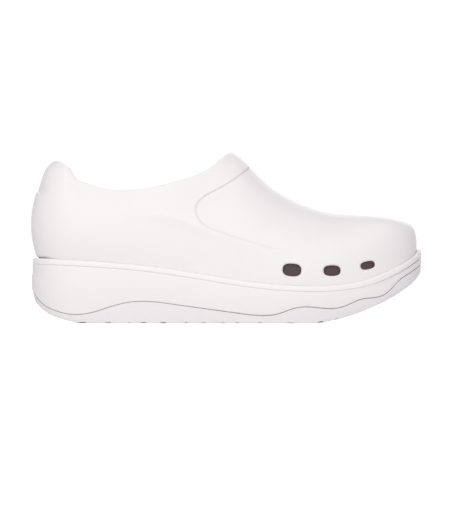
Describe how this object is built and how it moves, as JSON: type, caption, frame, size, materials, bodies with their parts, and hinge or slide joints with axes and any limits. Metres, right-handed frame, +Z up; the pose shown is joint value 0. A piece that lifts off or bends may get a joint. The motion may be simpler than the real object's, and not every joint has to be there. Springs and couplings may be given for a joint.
{
  "type": "safety clog",
  "caption": "Slip-on work clog for the right foot, moulded in white foam: closed heel with a tab, vents low on the outer side, grooved vamp and a thick rocker sole with a wavy tread line.",
  "frame": {"origin": "on the floor under the middle of the shoe's box", "axes": "+X towards the toe, +Y towards the inner side of the foot, +Z up"},
  "size_m": [0.2794, 0.101, 0.1222],
  "materials": {
    "upper": "satin moulded foam",
    "welt": "satin moulded foam",
    "midsole": "satin moulded foam",
    "outsole": "matt",
    "insole": "woven textile"
  },
  "bodies": {
    "root": {"upper": "upper", "welt": "welt", "midsole": "midsole", "outsole": "outsole", "insole": "insole"}
  },
  "joints": []
}
